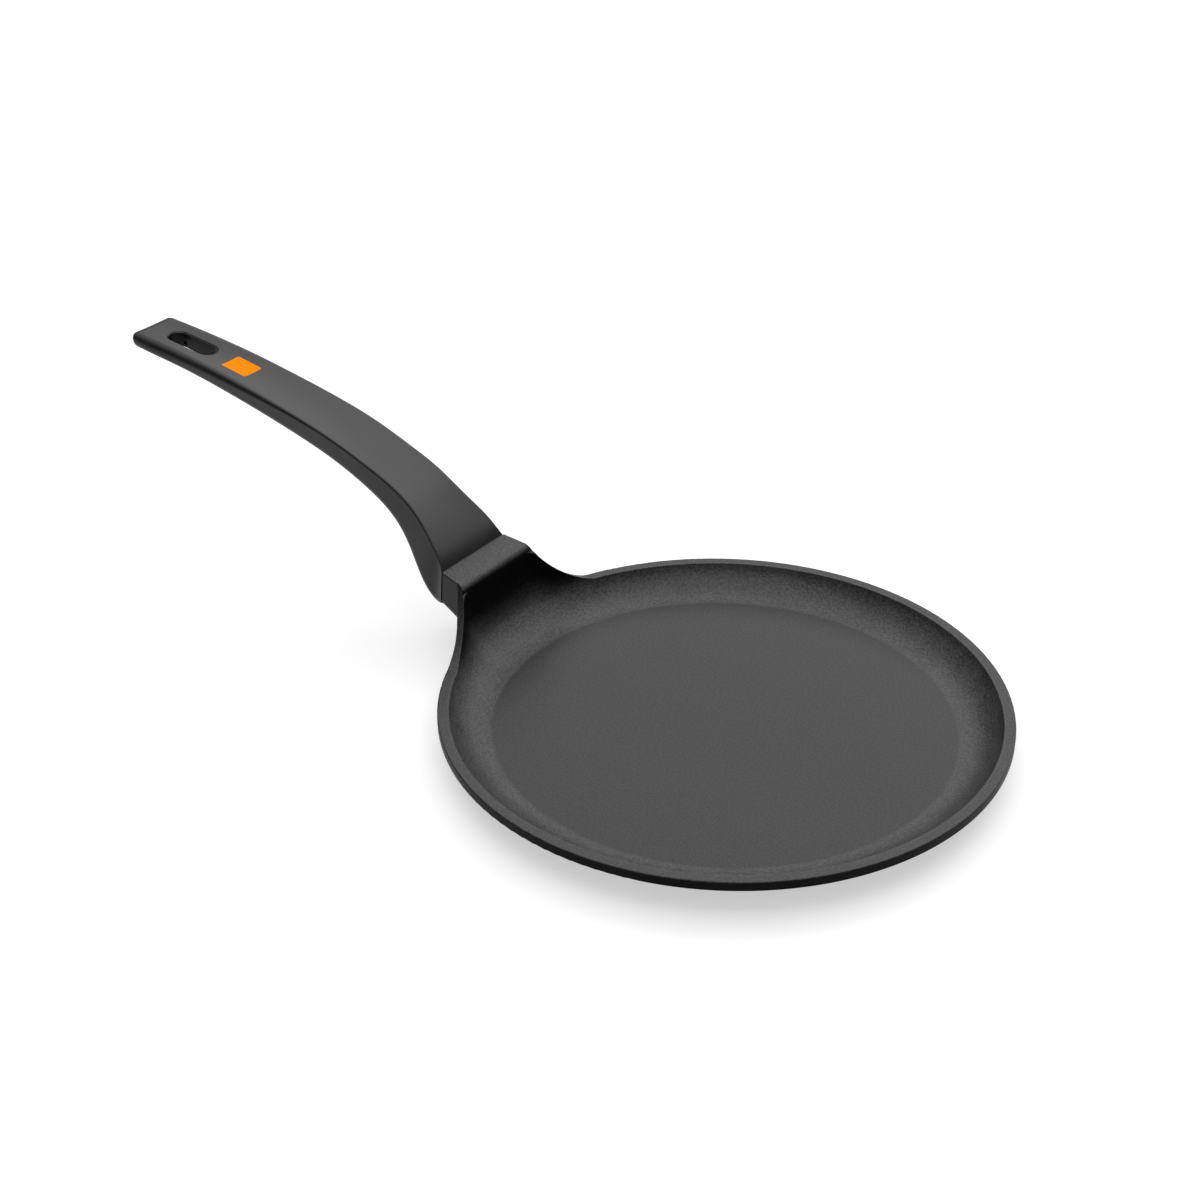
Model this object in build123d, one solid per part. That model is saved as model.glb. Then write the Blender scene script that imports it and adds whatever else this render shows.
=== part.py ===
from build123d import *
import os
from math import acos, asin, atan, atan2, cos, degrees, hypot, radians, sin, sqrt, tan

# Cast aluminium crepe pan. A curved plastic handle is screwed to a bracket that rises from its rim.
# Millimetres. The origin is the middle of the base, on the table. +Z is up, the handle runs along -X.

# Dish
LIP_RADIUS = 120.0
LIP_WIDTH = 4.8  # flat top of the lip
LIP_TOP = 17.0
LIP_BAND = 4.2  # height of the lip's outer face
LIP_ROUND = 0.5  # outer edges of the lip
LIP_BREAK = 0.25  # inner edge of the lip
FLOOR_TOP = 6.0
BOWL_CURVE = 19.7  # radius of the concave wall
WALL = 3.2
FOOT_BEVEL = 2.6

# Bracket: the rim rises to a flat wall, and a flange turns back from it over the handle's root
BRACKET_STEP = 0.8  # inner face of the flat wall, beyond the lip's radius
BRACKET_WALL = 3.9
BRACKET_WIDTH = 46.6
BRACKET_SOFT = 2.4  # blend of the bracket's upright corners
NECK_WALL = 3.0
NECK_RUN = 26.7  # sideways from the bracket's corner to where the neck has become plain lip
NECK_BITE = 6.6  # how far each neck's straight run would pass inside the bowl's own circle
RIDGE_RISE = 23.7  # above the lip
RIDGE_ROUND = 3.5
FLANGE_SLOPE = 9.0
FLANGE_DEPTH = 13.4
FLANGE_THICK = 2.4
FLANGE_EDGE = 0.5  # upright edge above the undercut bevel along each side

# Joint between the bracket and the handle
ROOT_WIDTH = 42.9
ROOT_DEPTH = 17.8
ROOT_ROUND = 4.0
JOINT_LEAN = 5.0
JOINT_GAP = 0.3
JOINT_BREAK = 0.25
GUARD_SLOPE = 22.0  # underside of the guard, rising towards the handle
FIT_GAP = 0.15

# Boss that carries the handle, cast with the bracket
BOSS_WIDTH = 24.0
BOSS_HEIGHT = 11.0
BOSS_LENGTH = 16.3
BOSS_ROUND = 2.0
BOSS_BELOW_RIDGE = 6.9  # from the bracket's ridge down to the screw's axis

# Screw, washers and insert
SCREW_DIAMETER = 6.0
SCREW_GAP = 0.1
HEAD_DIAMETER = 10.4
HEAD_HEIGHT = 3.6
HEAD_ROUND = 1.0
HEX_FLATS = 4.0
HEX_DEPTH = 2.0
CLAMPED_WALL = 3.6  # plastic between the boss and the washer
COUNTERBORE_GAP = 0.3
WASHER_DIAMETER = 12.0
WASHER_THICK = 1.2
SPRING_DIAMETER = 10.4
SPRING_THICK = 1.6
SPRING_SLIT = 1.0
SPRING_SLANT = 20.0
INSERT_DIAMETER = 8.4
INSERT_LENGTH = 12.6
INSERT_GROOVE = 0.5
BORE_SPARE = 1.7  # blind end of the boss's bore beyond the insert

# Handle
HANDLE_LENGTH = 196.2
HANDLE_RISE = 61.3
GRIP_WIDTH = 29.0
GRIP_DEPTH = 17.3
GRIP_INSET = 4.5  # how far each flank leans in from the top edge to the belly
BELLY_ROUND = 6.6
EDGE_ROUND = 0.8
DISH = 1.3  # hollow across the top face
GRIP_LEAN = 32.0  # steepest tilt of a cross-section from upright
TIP_CORNER = 3.4  # rounding of the tip's end, seen from above
TIP_ROUND = 2.4  # rounding of the tip's end, seen from the side
TIP_TURNS = (0, 20, 40, 60, 80)  # degrees round the end at which the tip is lofted

# Hang slot and badge
SLOT_LENGTH = 28.5
SLOT_WIDTH = 9.4
SLOT_FROM_TIP = 28.4
SLOT_ROUND = 0.6
SIDE_HOLE_DIAMETER = 2.4  # blind hole in the slot's far wall
SIDE_HOLE_DEPTH = 2.0
SIDE_HOLE_DROP = 4.6  # below the top face
SIDE_HOLE_FROM_END = 4.1  # from the slot's outer end
BADGE_LENGTH = 15.0
BADGE_WIDTH = 11.4
BADGE_CORNER = 0.8
BADGE_THICK = 1.3
BADGE_GAP = 0.08
BADGE_FROM_TIP = 59.8

# Steel disc pressed into the base for induction hobs
DISC_MARGIN = 6.7  # flat of the foot outside the disc
DISC_THICK = 0.9
DISC_GAP = 0.05
DISC_HOLE = 4.2
DISC_RINGS = 6
HOLES_IN_FIRST_RING = 6

OVERRUN = 5.0  # how far a cut runs past the surface it opens

# Cross-sections of the handle from the root's own to the start of the tip. Shares of: the length and
# rise, the grip's width, depth and inset, the belly's rounding, the edge's rounding, the dish, the tilt.
STATION_SHARES = (
    (0.035, 0.146, 1.290, 1.538, 0.44, 0.85, 1.00, 0.12, 0.62),
    (0.072, 0.255, 1.147, 1.420, 0.78, 1.00, 1.00, 0.27, 0.91),
    (0.113, 0.358, 1.049, 1.283, 1.00, 1.06, 1.00, 0.45, 1.00),
    (0.165, 0.459, 1.014, 1.138, 1.00, 1.06, 1.00, 0.62, 0.91),
    (0.238, 0.554, 1.000, 1.002, 1.00, 1.00, 1.00, 0.77, 0.69),
    (0.341, 0.664, 0.995, 0.910, 1.00, 0.98, 1.00, 0.85, 0.50),
    (0.471, 0.764, 0.995, 0.844, 1.00, 0.97, 1.50, 0.92, 0.36),
    (0.601, 0.841, 1.010, 0.751, 0.91, 0.89, 2.37, 0.96, 0.28),
    (0.730, 0.904, 1.024, 0.642, 0.76, 0.76, 3.12, 1.00, 0.22),
    (0.860, 0.947, 1.014, 0.543, 0.58, 0.64, 3.62, 0.88, 0.17),
    (0.999, 0.970, 0.966, 0.462, 0.44, 0.58, 3.75, 0.23, 0.14),
)
# The neck's edge as it falls from the bracket to the lip, as shares of its run and its fall
NECK_SHARES = ((-0.03, 1.06), (0.25, 0.3), (0.85, 0.0), (1.0, 0.0))
NECK_SECTION_TURN = 1.25  # degrees between the bracket's lofted sections
# Shares along an edge at which it is tested
SAMPLE_SHARES = (0.1, 0.3, 0.5, 0.7, 0.9)
QUARTER_SHARES = (0.25, 0.75)

# Places that follow from the sizes above. A reach is a distance from the pan's axis along the handle.
BAND_FOOT = LIP_TOP - LIP_BAND
DISH_DEPTH = LIP_TOP - FLOOR_TOP
FLOOR_RADIUS = LIP_RADIUS - LIP_WIDTH - sqrt(DISH_DEPTH * (2 * BOWL_CURVE - DISH_DEPTH))
BOWL_RADIUS = FLOOR_RADIUS + BOWL_CURVE
BRACKET_FACE = LIP_RADIUS + BRACKET_STEP
BRACKET_BACK = BRACKET_FACE + BRACKET_WALL
RIDGE_TOP = LIP_TOP + RIDGE_RISE
BROW_FOOT = RIDGE_TOP - RIDGE_RISE / 3
CORNER_Y = BRACKET_WIDTH / 2
CORNER_REACH = hypot(BRACKET_FACE, CORNER_Y)
NECK_TURN = atan2(CORNER_Y, BRACKET_FACE) + acos((BOWL_RADIUS - NECK_BITE) / CORNER_REACH)
FOOT_RADIUS = FLOOR_RADIUS - WALL - FOOT_BEVEL
DISC_RADIUS = FOOT_RADIUS - DISC_MARGIN
DISC_RING_STEP = DISC_RADIUS / (DISC_RINGS + 1)
SECTOR_TURN = degrees(asin((CORNER_Y + NECK_RUN) / FLOOR_RADIUS))  # from the handle to plain rim
JOINT_AT = BRACKET_FACE + FLANGE_DEPTH
JOINT_TOP = RIDGE_TOP + FLANGE_DEPTH * tan(radians(FLANGE_SLOPE))
SCREW_Z = RIDGE_TOP - BOSS_BELOW_RIDGE
BOSS_END = BRACKET_BACK + BOSS_LENGTH
CLAMP_FACE = BOSS_END + FIT_GAP + CLAMPED_WALL
HEAD_SEAT = CLAMP_FACE + WASHER_THICK + SPRING_THICK
INSERT_INNER = BOSS_END - INSERT_LENGTH
BORE_END = INSERT_INNER - BORE_SPARE
TIP_AT = JOINT_AT + HANDLE_LENGTH
TALL = RIDGE_TOP + OVERRUN


def at(reach, height, across=0):
    """Point at a distance out along the handle from the pan's axis."""
    return Vector(-reach, across, height)


def level_cylinder(diameter, start, end):
    """Cylinder along the screw's axis between two reaches."""
    plane = Plane(origin=at(start, SCREW_Z), x_dir=(0, 1, 0), z_dir=(-1, 0, 0))
    return extrude(plane * Circle(diameter / 2), amount=end - start)


def softer_min(a, b):
    """The smaller of two lengths, rounded off where they cross."""
    return min(a, b) - max(BRACKET_SOFT - abs(a - b), 0) ** 2 / (4 * BRACKET_SOFT)


def wall_radius(angle, outer):
    """Radius of the wall's inner or outer face at an angle from the handle."""
    side = BOWL_RADIUS - NECK_BITE
    face, plain = BRACKET_FACE, BOWL_RADIUS
    if outer:
        side, face, plain = side + NECK_WALL, BRACKET_BACK, LIP_RADIUS
    if abs(angle) > SECTOR_TURN:
        return plain
    flat = face / cos(radians(angle))
    slant = side / cos(radians(abs(angle)) - NECK_TURN)
    return -softer_min(-softer_min(flat, slant), -plain)


def upright_plane(angle):
    """Plane through the pan's axis at an angle from the handle, with its x axis pointing outwards."""
    outwards = Vector(-cos(radians(angle)), sin(radians(angle)), 0)
    return Plane(origin=(0, 0, 0), x_dir=outwards, z_dir=outwards.cross(Vector(0, 0, 1)))


def wall_section(inner, outer, top):
    """Face in (radius, height) of the floor's margin, the concave wall and the lip."""
    curve = inner - FLOOR_RADIUS
    center = Vector(FLOOR_RADIUS, FLOOR_TOP + curve)
    under = FLOOR_TOP - WALL
    arc_top = min(top, center.Y)
    rim = Vector(FLOOR_RADIUS + sqrt(curve**2 - (center.Y - arc_top) ** 2), arc_top)
    inner_middle = center + (rim + Vector(FLOOR_RADIUS, FLOOR_TOP) - center * 2).normalized() * curve
    back_curve = curve + WALL
    ledge = Vector(FLOOR_RADIUS + sqrt(back_curve**2 - (center.Y - BAND_FOOT) ** 2), BAND_FOOT)
    back_middle = center + (ledge + Vector(FLOOR_RADIUS, under) - center * 2).normalized() * back_curve
    start = FLOOR_RADIUS - WALL / 2
    outline = [
        Line((start, FLOOR_TOP), (FLOOR_RADIUS, FLOOR_TOP)),
        ThreePointArc((FLOOR_RADIUS, FLOOR_TOP), inner_middle, rim),
    ]
    if top > arc_top:
        outline.append(Line(rim, (rim.X, top)))
    outline += [
        Line((rim.X, top), (outer, top)),
        Line((outer, top), (outer, BAND_FOOT)),
        Line((outer, BAND_FOOT), ledge),
        ThreePointArc(ledge, back_middle, (FLOOR_RADIUS, under)),
        Line((FLOOR_RADIUS, under), (start, under)),
        Line((start, under), (start, FLOOR_TOP)),
    ]
    return make_face(outline)


def bracket_section(angle):
    """Tall cross-section of the bracket's wall at an angle from the handle."""
    section = wall_section(wall_radius(angle, False), wall_radius(angle, True), TALL)
    return upright_plane(angle) * section


def neck_cutter():
    """All that is above the curves that fall from the bracket's corners to the lip on each side."""
    curve = [(CORNER_Y + NECK_RUN * run, LIP_TOP + RIDGE_RISE * fall) for run, fall in NECK_SHARES]
    start, end = curve[0], curve[-1]
    rest = Polyline(end, (LIP_RADIUS, end[1]), (LIP_RADIUS, 2 * TALL), (start[0], 2 * TALL), start)
    plane = Plane(origin=(0, 0, 0), x_dir=(0, 1, 0), z_dir=(1, 0, 0))
    cut = extrude(plane * make_face([Bezier(*curve), *rest.edges()]), amount=-BRACKET_BACK - OVERRUN)
    return cut + mirror(cut, Plane.XZ)


def roof_cutter():
    """All that is above the flange's sloping top and the rounded ridge over the bracket's wall."""
    slope = radians(FLANGE_SLOPE)
    far = JOINT_AT + OVERRUN
    near = BRACKET_FACE - BRACKET_WIDTH
    middle = BRACKET_FACE + RIDGE_ROUND * cos(slope)
    center = Vector(middle, RIDGE_TOP + (middle - BRACKET_FACE) * tan(slope) - RIDGE_ROUND / cos(slope))
    crest = center + Vector(-sin(slope), cos(slope)) * RIDGE_ROUND
    brow = center + Vector(-1, 1).normalized() * RIDGE_ROUND
    low = center - Vector(RIDGE_ROUND, 0)
    arc = ThreePointArc(at(low.X, low.Y), at(brow.X, brow.Y), at(crest.X, crest.Y))
    rest = Polyline(
        arc @ 1,
        at(far, RIDGE_TOP + (far - BRACKET_FACE) * tan(slope)),
        at(far, TALL + OVERRUN),
        at(near, TALL + OVERRUN),
        at(near, BROW_FOOT),
        at(BRACKET_FACE - BRACKET_WALL, BROW_FOOT),
        arc @ 0,
    )
    return extrude(make_face([arc, *rest.edges()]), amount=BRACKET_WIDTH, dir=(0, 1, 0), both=True)


def joint_plane(offset, drop=0):
    """Leaning face where the handle meets the flange and guard, moved out and down its own slope."""
    lean = radians(JOINT_LEAN)
    return Plane(
        origin=at(JOINT_AT + offset + drop * sin(lean), JOINT_TOP - drop * cos(lean)),
        x_dir=(0, 1, 0),
        z_dir=(cos(lean), 0, -sin(lean)),
    )


def flange_width(reach):
    """Width of the flange where it tapers from the bracket to the handle's root."""
    return BRACKET_WIDTH - (BRACKET_WIDTH - ROOT_WIDTH) * (reach - BRACKET_FACE) / FLANGE_DEPTH


def flange_section(reach, gap, head):
    """Cross-section of the flange, with a gap below and some head room above."""
    top = RIDGE_TOP + (reach - BRACKET_FACE) * tan(radians(FLANGE_SLOPE))
    half = flange_width(reach) / 2
    edge_foot = top - FLANGE_EDGE - gap
    bottom = top - FLANGE_THICK - gap
    inset = edge_foot - bottom
    points = [(-half, top + head), (half, top + head), (half, edge_foot), (half - inset, bottom)]
    points += [(inset - half, bottom), (-half, edge_foot)]
    plane = Plane(origin=at(reach, 0), x_dir=(0, 1, 0), z_dir=(1, 0, 0))
    return plane * make_face(Polyline(*points, close=True))


def flange_block(gap, head):
    """The flange running past the joint, or the room kept for it."""
    ends = (BRACKET_BACK - FIT_GAP, JOINT_AT + OVERRUN)
    return loft([flange_section(reach, gap, head) for reach in ends], ruled=True)


def boss_block(gap):
    """The boss and the web that ties it to the flange, or the room kept for them."""
    start = BRACKET_FACE + BRACKET_WALL / 2
    plane = Plane(origin=at(start, SCREW_Z), x_dir=(0, 1, 0), z_dir=(-1, 0, 0))
    outline = RectangleRounded(BOSS_WIDTH + 2 * gap, BOSS_HEIGHT + 2 * gap, BOSS_ROUND + gap)
    boss = extrude(plane * outline, amount=BOSS_END + gap - start)
    web_height = JOINT_TOP - FLANGE_THICK - SCREW_Z
    web_length = JOINT_AT - BRACKET_WALL - start
    web = Box(web_length + gap, BOSS_WIDTH - 2 * BOSS_ROUND + 2 * gap, web_height)
    return boss + Pos(at(start + (web_length + gap) / 2, SCREW_Z + web_height / 2)) * web


def disc_face(radius, hole):
    """Round face with rings of holes about its middle."""
    holes = [Circle(hole / 2)]
    for ring in range(1, DISC_RINGS + 1):
        spots = PolarLocations(ring * DISC_RING_STEP, HOLES_IN_FIRST_RING * ring)
        holes += [spot * Circle(hole / 2) for spot in spots]
    return Circle(radius) - holes


def make_bracket():
    """The sector of the rim that rises to the bracket, with the flange."""
    steps = round(SECTOR_TURN / NECK_SECTION_TURN)
    turns = [SECTOR_TURN * step / steps for step in range(-steps, steps + 1)]
    wall = loft([bracket_section(turn) for turn in turns]) - neck_cutter()
    topped = wall + flange_block(0, 0) - roof_cutter()
    return split(topped, joint_plane(0), keep=Keep.TOP)


def behind_face(edge):
    """How far points along an edge stand behind the wall's outer face, as a list."""
    points = [edge @ share for share in SAMPLE_SHARES]
    turns = [degrees(atan2(point.Y, -point.X)) for point in points]
    return [wall_radius(turn, True) - hypot(point.X, point.Y) for turn, point in zip(turns, points)]


def rim_edges(body):
    """Long edges of the lip and necks that are rounded: the outer ones and the inner ones."""
    outer, inner = [], []
    for edge in body.edges():
        far_out = max(abs((edge @ share).Y) for share in (0, 0.25, 0.5, 1)) > CORNER_Y
        if edge.geom_type == GeomType.LINE or not far_out:
            continue
        depths = behind_face(edge)
        if max(abs(depth) for depth in depths) < FIT_GAP:
            outer.append(edge)
        beside = min(abs((edge @ share).Y) for share in QUARTER_SHARES) > CORNER_Y
        low = LIP_TOP - FIT_GAP < (edge @ 0.5).Z < BROW_FOOT
        if beside and low and NECK_WALL / 2 < min(depths) and max(depths) < 2 * NECK_WALL:
            inner.append(edge)
    return outer, inner


def make_pan_body():
    """Dish, bracket, flange and boss, cast in one, with the bed for the steel disc."""
    plain = upright_plane(SECTOR_TURN) * wall_section(BOWL_RADIUS, LIP_RADIUS, LIP_TOP)
    rim_body = revolve(plain, Axis.Z, 2 * SECTOR_TURN - 360) + make_bracket()
    rim_body = fillet(rim_edges(rim_body)[0], LIP_ROUND)
    rim_body = fillet(rim_edges(rim_body)[1], LIP_BREAK)
    under = FLOOR_TOP - WALL
    rim = FLOOR_RADIUS - WALL / 4
    outline = Polyline(
        (0, 0),
        (FOOT_RADIUS, 0),
        (FOOT_RADIUS + FOOT_BEVEL, under),
        (rim, under),
        (rim, FLOOR_TOP),
        (0, FLOOR_TOP),
        close=True,
    )
    body = rim_body + boss_block(0) + revolve(make_face(Plane.XZ * outline), Axis.Z)
    body -= level_cylinder(INSERT_DIAMETER + 2 * SCREW_GAP, INSERT_INNER, BOSS_END + OVERRUN)
    body -= level_cylinder(SCREW_DIAMETER + 2 * SCREW_GAP, BORE_END, BOSS_END)
    bed = extrude(disc_face(DISC_RADIUS + DISC_GAP, DISC_HOLE - 2 * DISC_GAP), amount=DISC_THICK + DISC_GAP)
    return body - bed


def make_flame_guard():
    """Moulded block that fills the space under the flange, between the bracket and the handle."""
    lean = radians(JOINT_LEAN)
    near = BRACKET_BACK + FIT_GAP
    far = JOINT_AT + ROOT_DEPTH
    foot_reach = JOINT_AT + ROOT_DEPTH * sin(lean)
    foot_level = JOINT_TOP - ROOT_DEPTH * cos(lean)
    slope = tan(radians(GUARD_SLOPE))
    side = Polyline(
        at(near, foot_level - slope * (foot_reach - near)),
        at(far, foot_level + slope * (far - foot_reach)),
        at(far, TALL),
        at(near, TALL),
        close=True,
    )
    plan = [(-near, -flange_width(near) / 2), (-far, -flange_width(far) / 2)]
    plan += [(-reach, -across) for reach, across in ((-x, y) for x, y in reversed(plan))]
    block = extrude(make_face(side), amount=BRACKET_WIDTH, dir=(0, 1, 0), both=True)
    block &= extrude(make_face(Polyline(*plan, close=True)), amount=2 * TALL)
    low_edges = block.edges().filter_by(lambda edge: edge.length > ROOT_DEPTH).sort_by(Axis.Z)[:2]
    block = fillet(low_edges, ROOT_ROUND)
    block = split(block, joint_plane(0), keep=Keep.TOP)
    block = fillet([edge for edge in joint_edges(block, 0) if (edge @ 0.5).Z < RIDGE_TOP], JOINT_BREAK)
    return block - flange_block(FIT_GAP, 2 * OVERRUN) - boss_block(FIT_GAP)


def corner_points(before, corner, after, radius):
    """Start, middle and end of the arc that rounds a corner between two straight sides."""
    into = (before - corner).normalized()
    out = (after - corner).normalized()
    half = radians(into.get_angle(out)) / 2
    reach = radius / tan(half)
    bisector = (into + out).normalized()
    middle = corner + bisector * (radius / sin(half) - radius)
    return corner + into * reach, middle, corner + out * reach


def joint_edges(body, offset):
    """Edges of a body that lie on the joint's leaning plane."""
    plane = joint_plane(offset)
    chosen = []
    for edge in body.edges():
        heights = [plane.to_local_coords(edge @ share).Z for share in SAMPLE_SHARES]
        if max(abs(height) for height in heights) < FIT_GAP / 10:
            chosen.append(edge)
    return chosen


def handle_section(plane, width, depth, inset, belly, edge, dish):
    """Cross-section of the handle: dished top, flanks leaning in, rounded belly."""
    half = width / 2
    tilt = 2 * atan(2 * dish / width)
    ring = [
        Vector(0, -half * tan(tilt)),
        Vector(half, 0),
        Vector(half - inset, -depth),
        Vector(inset - half, -depth),
        Vector(-half, 0),
    ]
    radii = (edge, belly, belly, edge)
    arcs = [
        corner_points(ring[spot - 1], ring[spot], ring[(spot + 1) % len(ring)], radius)
        for spot, radius in enumerate(radii, start=1)
    ]
    left, right = arcs[-1][2], arcs[0][0]
    if dish:
        edges = [ThreePointArc(left, Vector(0, right.Y - right.X * tan(tilt / 2)), right)]
    else:
        edges = [Line(left, right)]
    for spot, arc in enumerate(arcs):
        edges.append(ThreePointArc(*arc))
        if spot < len(arcs) - 1:
            edges.append(Line(arc[2], arcs[spot + 1][0]))
    return plane * make_face(edges)


def station(row, end_turn):
    """Cross-section at a row of shares. Past the last row, the end turn walks round the tip."""
    along, up, width, depth, inset, belly, edge, dish, tilt = row
    lean = radians(GRIP_LEAN * tilt)
    past = TIP_CORNER * sin(radians(end_turn))
    drawn_in = 1 - cos(radians(end_turn))
    reach = JOINT_AT + (HANDLE_LENGTH - TIP_CORNER) * along + past
    level = JOINT_TOP + HANDLE_RISE * up + past * tan(lean) - TIP_ROUND * drawn_in
    full = GRIP_DEPTH * depth
    thin = full - 2 * TIP_ROUND * drawn_in
    shrink = thin / full
    return handle_section(
        Plane(origin=at(reach, level), x_dir=(0, 1, 0), z_dir=(cos(lean), 0, -sin(lean))),
        GRIP_WIDTH * width - 2 * TIP_CORNER * drawn_in,
        thin,
        GRIP_INSET * inset * shrink,
        BELLY_ROUND * belly * shrink,
        EDGE_ROUND * edge * shrink,
        DISH * dish * shrink,
    )


def root_section(offset, drawn_in):
    """Cross-section of the handle at its joint, made smaller all round by a length."""
    return handle_section(
        joint_plane(offset, drawn_in),
        ROOT_WIDTH - 2 * drawn_in,
        ROOT_DEPTH - 2 * drawn_in,
        0,
        ROOT_ROUND - drawn_in,
        EDGE_ROUND - drawn_in,
        0,
    )


def handle_blank():
    """The handle before anything is cut from it, with its rounded tip."""
    eased = [root_section(JOINT_GAP, JOINT_BREAK), root_section(JOINT_GAP + JOINT_BREAK, 0)]
    grip = loft([eased[1]] + [station(row, 0) for row in STATION_SHARES])
    tip = loft([station(STATION_SHARES[-1], turn) for turn in TIP_TURNS])
    return grip + loft(eased, ruled=True) + tip


def top_plane(body, reach):
    """Plane on the handle's top face above the middle line, with its x axis along the handle."""
    hits = body.find_intersection_points(Axis(at(reach, 0), (0, 0, 1)))
    point, normal = max(hits, key=lambda hit: hit[0].Z)
    if normal.Z < 0:
        normal = -normal
    return Plane(origin=point, x_dir=Vector(0, 1, 0).cross(normal), z_dir=normal)


def fastening_room():
    """Socket for the boss, bore for the screw and counterbore for its head, in the handle's root."""
    bore = level_cylinder(SCREW_DIAMETER + 4 * SCREW_GAP, BOSS_END, CLAMP_FACE + OVERRUN)
    room_end = CLAMP_FACE + ROOT_WIDTH / 2
    counterbore = level_cylinder(WASHER_DIAMETER + 2 * COUNTERBORE_GAP, CLAMP_FACE, room_end)
    return boss_block(FIT_GAP) + bore + counterbore


def slot_cutter(plane):
    """Stadium through the tip, with its top edge eased."""
    outline = SlotOverall(SLOT_LENGTH, SLOT_WIDTH)
    hole = extrude(plane * outline, amount=GRIP_DEPTH, both=True)
    low = plane.offset(-SLOT_ROUND)
    ease = loft([low * outline, plane.offset(OVERRUN) * offset(outline, OVERRUN + SLOT_ROUND)])
    return hole + ease


def badge_prism(plane, gap):
    """Upright prism over the badge, from its underside to well above the handle."""
    outline = RectangleRounded(BADGE_LENGTH + 2 * gap, BADGE_WIDTH + 2 * gap, BADGE_CORNER + gap)
    return extrude(plane.offset(-BADGE_THICK - gap) * outline, amount=BADGE_THICK + OVERRUN)


def make_handle_and_badge():
    """The handle, and the badge cut from the same top surface so that it lies flush."""
    blank = handle_blank()
    slot_plane = top_plane(blank, TIP_AT - SLOT_FROM_TIP)
    badge_plane = top_plane(blank, TIP_AT - BADGE_FROM_TIP)
    badge = blank & badge_prism(badge_plane, 0)
    body = blank - slot_cutter(slot_plane) - badge_prism(badge_plane, BADGE_GAP) - fastening_room()
    hole_reach = TIP_AT - SLOT_FROM_TIP + SLOT_LENGTH / 2 - SIDE_HOLE_FROM_END
    hole_level = slot_plane.origin.Z - SIDE_HOLE_DROP
    side_plane = Plane(origin=at(hole_reach, hole_level, SLOT_WIDTH / 3), z_dir=(0, 1, 0))
    side_hole = side_plane * Circle(SIDE_HOLE_DIAMETER / 2)
    body -= extrude(side_hole, amount=SLOT_WIDTH / 6 + SIDE_HOLE_DEPTH)
    return body, badge


def make_induction_plate():
    """Perforated steel disc, flush with the base."""
    return extrude(disc_face(DISC_RADIUS, DISC_HOLE), amount=DISC_THICK)


def make_threaded_insert():
    """Brass bush in the boss that takes the screw."""
    bush = level_cylinder(INSERT_DIAMETER, INSERT_INNER, BOSS_END)
    middle = (INSERT_INNER + BOSS_END) / 2
    band = INSERT_LENGTH / 8
    groove = level_cylinder(INSERT_DIAMETER + OVERRUN, middle - band, middle + band)
    groove -= level_cylinder(INSERT_DIAMETER - 2 * INSERT_GROOVE, middle - band, middle + band)
    bore = level_cylinder(SCREW_DIAMETER + 2 * SCREW_GAP, INSERT_INNER - OVERRUN, BOSS_END + OVERRUN)
    return bush - groove - bore


def make_handle_screw():
    """Cap screw that pulls the handle's root on to the boss."""
    head = level_cylinder(HEAD_DIAMETER, HEAD_SEAT, HEAD_SEAT + HEAD_HEIGHT)
    head = fillet(head.edges().sort_by(Axis.X)[0], HEAD_ROUND)
    shank = level_cylinder(SCREW_DIAMETER, BORE_END + BORE_SPARE / 2, HEAD_SEAT)
    shank = chamfer(shank.edges().sort_by(Axis.X)[-1], BORE_SPARE / 4)
    face = Plane(origin=at(HEAD_SEAT + HEAD_HEIGHT, SCREW_Z), x_dir=(0, 1, 0), z_dir=(-1, 0, 0))
    key = RegularPolygon(HEX_FLATS / 2, 6, major_radius=False)
    return head + shank - extrude(face * key, amount=-HEX_DEPTH)


def washer(diameter, start, end):
    """Flat ring round the screw between two reaches."""
    return level_cylinder(diameter, start, end) - level_cylinder(SCREW_DIAMETER + 4 * SCREW_GAP, start, end)


def make_spring_washer():
    """Split washer under the screw's head, its slit slanted."""
    ring = washer(SPRING_DIAMETER, CLAMP_FACE + WASHER_THICK, HEAD_SEAT)
    upwards = (Align.CENTER, Align.CENTER, Align.MIN)
    slit = Box(2 * SPRING_THICK, SPRING_SLIT, SPRING_DIAMETER, align=upwards)
    return ring - Pos(at(HEAD_SEAT - SPRING_THICK / 2, SCREW_Z)) * Rot(0, 0, SPRING_SLANT) * slit


handle, badge = make_handle_and_badge()
NODES = {
    "pan_body": make_pan_body(),
    "flame_guard": make_flame_guard(),
    "handle": handle,
    "badge_inlay": badge,
    "induction_plate": make_induction_plate(),
    "threaded_insert": make_threaded_insert(),
    "handle_screw": make_handle_screw(),
    "spring_washer": make_spring_washer(),
    "flat_washer": washer(WASHER_DIAMETER, CLAMP_FACE, CLAMP_FACE + WASHER_THICK),
}

os.makedirs("parts", exist_ok=True)
for name, body in NODES.items():
    export_step(body, f"parts/{name}.step")
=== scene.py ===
import math

import bpy
from mathutils import Matrix, Vector

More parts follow.
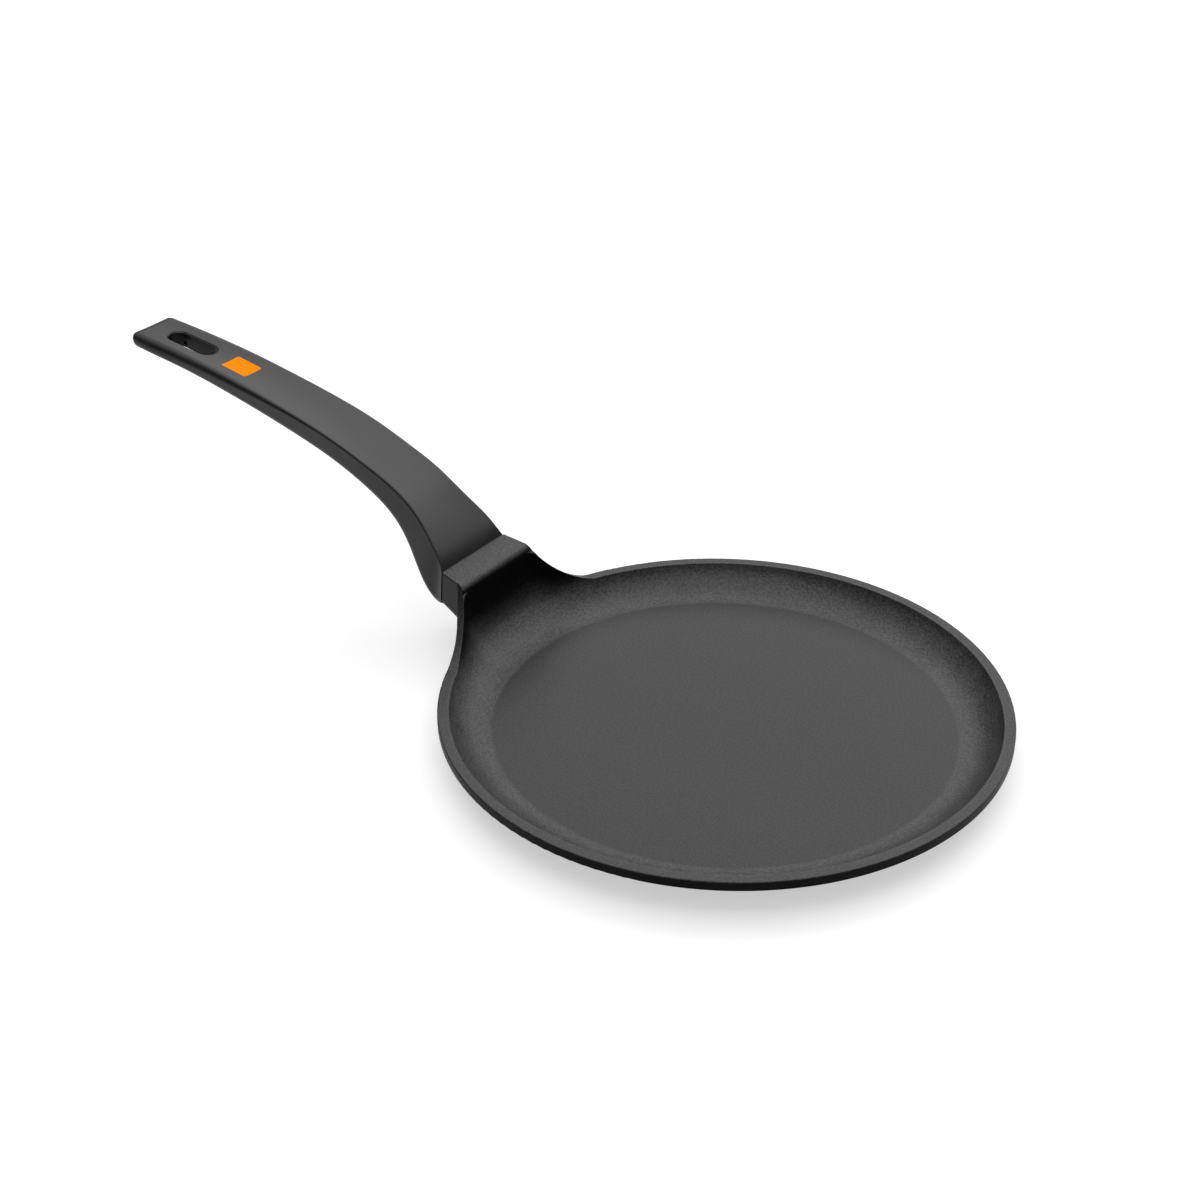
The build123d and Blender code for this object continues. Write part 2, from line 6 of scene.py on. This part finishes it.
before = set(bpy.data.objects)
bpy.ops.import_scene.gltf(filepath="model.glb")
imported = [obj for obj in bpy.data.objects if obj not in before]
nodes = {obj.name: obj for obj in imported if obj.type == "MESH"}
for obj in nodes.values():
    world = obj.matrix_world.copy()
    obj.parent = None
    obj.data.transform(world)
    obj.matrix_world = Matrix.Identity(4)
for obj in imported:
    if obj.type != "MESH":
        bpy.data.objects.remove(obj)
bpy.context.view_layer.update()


# Pan body: die-cast aluminium dish, lip, bracket, flange and boss in one piece. It is sprayed inside and out
# with a dark grey non-stick coating that dries to a fine satin grain, a little rougher on the walls.
def shared_group(name, sockets):
    """New node group with these sockets, and its input and output nodes."""
    group = bpy.data.node_groups.new(name, "ShaderNodeTree")
    for label, way, kind in sockets:
        group.interface.new_socket(name=label, in_out=way, socket_type=kind)
    return group, group.nodes.new("NodeGroupInput"), group.nodes.new("NodeGroupOutput")


def feed(tree, value, socket):
    """Set a socket to a plain number, or link it to another node's output."""
    if isinstance(value, (int, float)):
        socket.default_value = value
    else:
        tree.links.new(value, socket)


def noise_node(tree, place, scale, detail, roughness):
    """Noise texture in the object space of a texture coordinate node."""
    node = tree.nodes.new("ShaderNodeTexNoise")
    tree.links.new(place.outputs["Object"], node.inputs["Vector"])
    feed(tree, scale, node.inputs["Scale"])
    node.inputs["Detail"].default_value = detail
    node.inputs["Roughness"].default_value = roughness
    return node


def math_node(tree, operation, first, second):
    """Output of a maths node on other nodes' outputs or plain numbers."""
    node = tree.nodes.new("ShaderNodeMath")
    node.operation = operation
    feed(tree, first, node.inputs[0])
    feed(tree, second, node.inputs[1])
    return node.outputs["Value"]


# Fine grain: a speckle of grains, a slow mottling and their bumps, in object space. Level is painted light
# and shade: it is 1 on faces that look up and falls to 0 on upright ones and undersides, and the materials
# darken and dull those faces by it as if in shade.
grain, grain_in, grain_out = shared_group(
    "fine_grain",
    (
        ("Grain per metre", "INPUT", "NodeSocketFloat"),
        ("Bump depth", "INPUT", "NodeSocketFloat"),
        ("Speckle", "OUTPUT", "NodeSocketFloat"),
        ("Mottle", "OUTPUT", "NodeSocketFloat"),
        ("Level", "OUTPUT", "NodeSocketFloat"),
        ("Normal", "OUTPUT", "NodeSocketVector"),
    ),
)
place = grain.nodes.new("ShaderNodeTexCoord")
fine = noise_node(grain, place, scale=grain_in.outputs["Grain per metre"], detail=2, roughness=0.55)
slow = noise_node(grain, place, scale=90, detail=4, roughness=0.6)
bump = grain.nodes.new("ShaderNodeBump")
bump.inputs["Strength"].default_value = 1
grain.links.new(fine.outputs["Fac"], bump.inputs["Height"])
grain.links.new(grain_in.outputs["Bump depth"], bump.inputs["Distance"])
parts = grain.nodes.new("ShaderNodeSeparateXYZ")
grain.links.new(place.outputs["Normal"], parts.inputs["Vector"])
# Painted shade: the level follows only how far a face turns up, as light from above would fall.
painted_light_level = grain.nodes.new("ShaderNodeMapRange")
painted_light_level.interpolation_type = "SMOOTHSTEP"
upright_below, level_above = 0.2, 0.65
painted_light_level.inputs["From Min"].default_value = upright_below
painted_light_level.inputs["From Max"].default_value = level_above
grain.links.new(parts.outputs["Z"], painted_light_level.inputs["Value"])
grain.links.new(painted_light_level.outputs["Result"], grain_out.inputs["Level"])
grain.links.new(fine.outputs["Fac"], grain_out.inputs["Speckle"])
grain.links.new(slow.outputs["Fac"], grain_out.inputs["Mottle"])
grain.links.new(bump.outputs["Normal"], grain_out.inputs["Normal"])


def grained_material(name, dark, light, rough, spread, grains, depth, specular, shaded_share):
    """Principled material whose colour and roughness follow the grain. Faces that stand upright, and
    undersides, are painted in shade: they keep only a share of its colour and its sheen, set by the last
    argument."""
    material = bpy.data.materials.new(name)
    material.use_nodes = True
    tree = material.node_tree
    shader = tree.nodes["Principled BSDF"]
    group = tree.nodes.new("ShaderNodeGroup")
    group.name = "grain"
    group.node_tree = grain
    group.inputs["Grain per metre"].default_value = grains
    group.inputs["Bump depth"].default_value = depth
    mottle_share = 0.25
    mix = math_node(tree, "MULTIPLY", group.outputs["Speckle"], 1 - mottle_share)
    mix = math_node(tree, "ADD", mix, math_node(tree, "MULTIPLY", group.outputs["Mottle"], mottle_share))
    ramp = tree.nodes.new("ShaderNodeValToRGB")
    for stop, position, color in zip(ramp.color_ramp.elements, (0.4, 0.6), (dark, light)):
        stop.position = position
        stop.color = (*color, 1)
    tree.links.new(mix, ramp.inputs["Fac"])
    # Painted shade: faces that are not turned up keep only the shaded share of the colour and the sheen.
    painted_light_share = math_node(tree, "MULTIPLY", group.outputs["Level"], 1 - shaded_share)
    painted_light_share = math_node(tree, "ADD", painted_light_share, shaded_share)
    scaled = tree.nodes.new("ShaderNodeVectorMath")
    scaled.name = "scaled"
    scaled.operation = "SCALE"
    tree.links.new(ramp.outputs["Color"], scaled.inputs[0])
    tree.links.new(painted_light_share, scaled.inputs["Scale"])
    tree.links.new(scaled.outputs["Vector"], shader.inputs["Base Color"])
    tree.links.new(math_node(tree, "MULTIPLY", painted_light_share, specular), shader.inputs["Specular IOR Level"])
    varied = math_node(tree, "MULTIPLY", math_node(tree, "SUBTRACT", group.outputs["Mottle"], 0.5), spread)
    tree.links.new(math_node(tree, "ADD", varied, rough), shader.inputs["Roughness"])
    tree.links.new(group.outputs["Normal"], shader.inputs["Normal"])
    return material


floor_bump, wall_bump, wall_painted_sheen = 0.00004, 0.00018, 1.4
# Painted shade: the coating's upright faces and undersides keep 0.15 of its colour and sheen.
coating = grained_material(
    "coating",
    dark=(0.01, 0.01, 0.0102),
    light=(0.028, 0.028, 0.0284),
    rough=0.4,
    spread=0.15,
    grains=1000,
    depth=floor_bump,
    specular=0.38,
    shaded_share=0.15,
)
nodes["pan_body"].data.materials[0] = coating

# On the wall round the flat floor the spray dries coarser, less so on the lip and the flange, and there the
# colour is also painted lighter as a painted sheen. The radius tells them apart.
tree = coating.node_tree
place = tree.nodes.new("ShaderNodeTexCoord")
flat = tree.nodes.new("ShaderNodeVectorMath")
flat.operation = "MULTIPLY"
flat.inputs[1].default_value = (1, 1, 0)
tree.links.new(place.outputs["Object"], flat.inputs[0])
reach = tree.nodes.new("ShaderNodeVectorMath")
reach.operation = "LENGTH"
tree.links.new(flat.outputs["Vector"], reach.inputs[0])
near, far = 0.09, 0.13
beyond = tree.nodes.new("ShaderNodeMapRange")
beyond.inputs["From Min"].default_value = near
beyond.inputs["From Max"].default_value = far
tree.links.new(reach.outputs["Value"], beyond.inputs["Value"])
zones = tree.nodes.new("ShaderNodeValToRGB")
coarse_and_sheen_at = ((0.0968, 0), (0.0985, 1), (0.1152, 1), (0.1165, 0.45))
for _ in range(len(coarse_and_sheen_at) - 2):
    zones.color_ramp.elements.new(0.5)
for stop, (radius, grey) in zip(zones.color_ramp.elements, coarse_and_sheen_at):
    stop.position = (radius - near) / (far - near)
    stop.color = (grey, grey, grey, 1)
tree.links.new(beyond.outputs["Result"], zones.inputs["Fac"])
coarse_and_sheen = zones.outputs["Color"]
depth = math_node(tree, "ADD", math_node(tree, "MULTIPLY", coarse_and_sheen, wall_bump), floor_bump)
tree.links.new(depth, tree.nodes["grain"].inputs["Bump depth"])
# Painted sheen: the wall's colour is lifted, up to 2.4 times, where the coarse band lies.
painted_sheen_lift = math_node(tree, "ADD", math_node(tree, "MULTIPLY", coarse_and_sheen, wall_painted_sheen), 1)
scale = tree.nodes["scaled"].inputs["Scale"]
painted_light_share = scale.links[0].from_socket
tree.links.new(math_node(tree, "MULTIPLY", painted_light_share, painted_sheen_lift), scale)


# Handle: long moulded grip of black thermoset plastic, dished on top and rounded below, with a hang slot.
# It has the even satin of a lightly textured mould, with painted shade that darkens and dulls its sides and
# underside, and a screw holds it on the boss.
plastic = grained_material(
    "handle_plastic",
    dark=(0.018, 0.018, 0.0182),
    light=(0.025, 0.025, 0.0252),
    rough=0.38,
    spread=0.1,
    grains=2600,
    depth=0.000015,
    specular=0.45,
    shaded_share=0.3,
)
nodes["handle"].data.materials[0] = plastic


# Flame guard: separate moulded block under the flange, between the bracket and the handle. It is the same
# plastic as the handle with a slightly coarser face and a lighter painted shade on its sides and underside,
# pushed on before the handle is screwed home.
guard_plastic = grained_material(
    "guard_plastic",
    dark=(0.016, 0.016, 0.0162),
    light=(0.026, 0.026, 0.0262),
    rough=0.45,
    spread=0.1,
    grains=1800,
    depth=0.00003,
    specular=0.4,
    shaded_share=0.65,
)
nodes["flame_guard"].data.materials[0] = guard_plastic


# Badge: plain orange plate let into the top of the handle. It is moulded in matt plastic, sits flush in a
# pocket of its own shape and is glued in.
badge = grained_material(
    "badge_orange",
    dark=(0.96, 0.27, 0.0005),
    light=(1.0, 0.3, 0.001),
    rough=0.5,
    spread=0.1,
    grains=3000,
    depth=0.000008,
    specular=0.02,
    shaded_share=1,
)
nodes["badge_inlay"].data.materials[0] = badge


# Steel disc in the base: perforated ferritic sheet pressed into the casting, its face turned flat, which
# leaves fine rings about the middle.
disc = bpy.data.materials.new("turned_steel")
disc.use_nodes = True
tree = disc.node_tree
shader = tree.nodes["Principled BSDF"]
shader.inputs["Metallic"].default_value = 1
place = tree.nodes.new("ShaderNodeTexCoord")
rings = tree.nodes.new("ShaderNodeTexWave")
rings.wave_type = "RINGS"
rings.rings_direction = "Z"
rings.inputs["Scale"].default_value = 300
rings.inputs["Distortion"].default_value = 0.4
rings.inputs["Detail"].default_value = 2
tree.links.new(place.outputs["Object"], rings.inputs["Vector"])
patches = noise_node(tree, place, scale=60, detail=4, roughness=0.6)
bump = tree.nodes.new("ShaderNodeBump")
bump.inputs["Distance"].default_value = 0.00002
tree.links.new(rings.outputs["Fac"], bump.inputs["Height"])
tree.links.new(bump.outputs["Normal"], shader.inputs["Normal"])
smoothest, spread = 0.22, 0.2
rough = math_node(tree, "ADD", math_node(tree, "MULTIPLY", patches.outputs["Fac"], spread), smoothest)
tree.links.new(rough, shader.inputs["Roughness"])
shader.inputs["Base Color"].default_value = (0.55, 0.55, 0.54, 1)
nodes["induction_plate"].data.materials[0] = disc


# Fastening: zinc plated cap screw with a split and a flat washer, and the brass bush that takes it. They sit
# inside the root of the handle, and hardly more than the screw's head shows, in its hole under the curve.
def metal_material(name, color, low, high):
    """Metal whose roughness varies in patches from low to high."""
    material = bpy.data.materials.new(name)
    material.use_nodes = True
    tree = material.node_tree
    shader = tree.nodes["Principled BSDF"]
    shader.inputs["Metallic"].default_value = 1
    shader.inputs["Base Color"].default_value = (*color, 1)
    place = tree.nodes.new("ShaderNodeTexCoord")
    patches = noise_node(tree, place, scale=500, detail=4, roughness=0.6)
    rough = math_node(tree, "MULTIPLY", patches.outputs["Fac"], high - low)
    tree.links.new(math_node(tree, "ADD", rough, low), shader.inputs["Roughness"])
    return material


zinc = metal_material("zinc_plate", color=(0.6, 0.61, 0.62), low=0.22, high=0.42)
brass = metal_material("turned_brass", color=(0.78, 0.6, 0.3), low=0.2, high=0.4)
for name, material, slot in (
    ("handle_screw", zinc, "screw_steel"),
    ("spring_washer", zinc, "washer_steel"),
    ("flat_washer", zinc, "washer_steel"),
    ("threaded_insert", brass, "insert_brass"),
):
    nodes[name].data.materials[0] = material


# Floor: white paper. Where it is seen or mirrored it is white and takes the pan's shadow, and otherwise it
# throws little light back up.
bpy.ops.mesh.primitive_plane_add(size=30, location=(0, 0, 0))
floor = bpy.context.active_object
floor.name = "floor"
seen_grey, seen_glow, unseen_grey = 0.6, 0.55, 0.12
paper = bpy.data.materials.new("paper")
paper.use_nodes = True
tree = paper.node_tree
output = tree.nodes["Material Output"]
tree.nodes.remove(tree.nodes["Principled BSDF"])
path = tree.nodes.new("ShaderNodeLightPath")
seen = math_node(tree, "MAXIMUM", path.outputs["Is Camera Ray"], path.outputs["Is Glossy Ray"])
seen = math_node(tree, "MAXIMUM", seen, path.outputs["Is Transmission Ray"])
white = tree.nodes.new("ShaderNodeBsdfDiffuse")
white.inputs["Color"].default_value = (seen_grey, seen_grey, seen_grey, 1)
dim = tree.nodes.new("ShaderNodeBsdfDiffuse")
dim.inputs["Color"].default_value = (unseen_grey, unseen_grey, unseen_grey, 1)
glow = tree.nodes.new("ShaderNodeEmission")
glow.inputs["Strength"].default_value = seen_glow
both = tree.nodes.new("ShaderNodeAddShader")
tree.links.new(white.outputs["BSDF"], both.inputs[0])
tree.links.new(glow.outputs["Emission"], both.inputs[1])
mix = tree.nodes.new("ShaderNodeMixShader")
tree.links.new(seen, mix.inputs["Fac"])
tree.links.new(dim.outputs["BSDF"], mix.inputs[1])
tree.links.new(both.outputs["Shader"], mix.inputs[2])
tree.links.new(mix.outputs["Shader"], output.inputs["Surface"])
floor.data.materials.append(paper)

# World: dim room
world = bpy.data.worlds.new("room")
bpy.context.scene.world = world
world.use_nodes = True
world.node_tree.nodes["Background"].inputs["Color"].default_value = (1, 1, 1, 1)
world.node_tree.nodes["Background"].inputs["Strength"].default_value = 0.02


# Studio lamps: a wide soft box overhead, others behind the pan at both heights and sides, a weak one in front
def soft_box(name, location, width, height, power):
    """Rectangular lamp that faces the pan, just beside its middle."""
    target = (-0.05, 0, 0)
    lamp = bpy.data.lights.new(name, "AREA")
    lamp.shape = "RECTANGLE"
    lamp.size = width
    lamp.size_y = height
    lamp.energy = power
    holder = bpy.data.objects.new(name, lamp)
    bpy.context.scene.collection.objects.link(holder)
    holder.location = location
    holder.rotation_euler = (Vector(target) - Vector(location)).to_track_quat("-Z", "Y").to_euler()


for name, location, width, height, power in (
    ("back_low", (-0.56, 1.32, 0.75), 1.8, 0.6, 4.8),
    ("back_high", (-0.51, 0.92, 1.23), 1.6, 0.9, 5.2),
    ("overhead", (-0.13, 0.1, 1.49), 2.0, 2.0, 18.5),
    ("back_left", (-1.35, -0.14, 0.92), 1.0, 0.9, 1.6),
    ("back_right", (0.48, 1.2, 0.92), 1.0, 0.9, 4.0),
    ("front_fill", (0.49, -0.74, 1.31), 1.2, 0.9, 4.0),
):
    soft_box(name, location, width, height, power)


# Camera: solved from the ellipse of the lip and the handle's edges
turn = math.radians(32.239)
yaw = turn + math.radians(4.048)
pitch = math.radians(31.106)
away, height = 0.7393, 0.5115
look = Vector((-math.sin(yaw) * math.cos(pitch), math.cos(yaw) * math.cos(pitch), -math.sin(pitch)))
side = Vector((math.cos(yaw), math.sin(yaw), 0))
up = side.cross(look)
lens = bpy.data.cameras.new("photo_camera")
lens.lens = 63.735
lens.sensor_width = 36
lens.clip_start = 0.01
camera = bpy.data.objects.new("photo_camera", lens)
bpy.context.scene.collection.objects.link(camera)
camera.matrix_world = Matrix(
    (
        (side.x, up.x, -look.x, away * math.sin(turn)),
        (side.y, up.y, -look.y, -away * math.cos(turn)),
        (side.z, up.z, -look.z, height),
        (0, 0, 0, 1),
    )
)
bpy.context.scene.camera = camera
bpy.context.scene.view_settings.view_transform = "Standard"
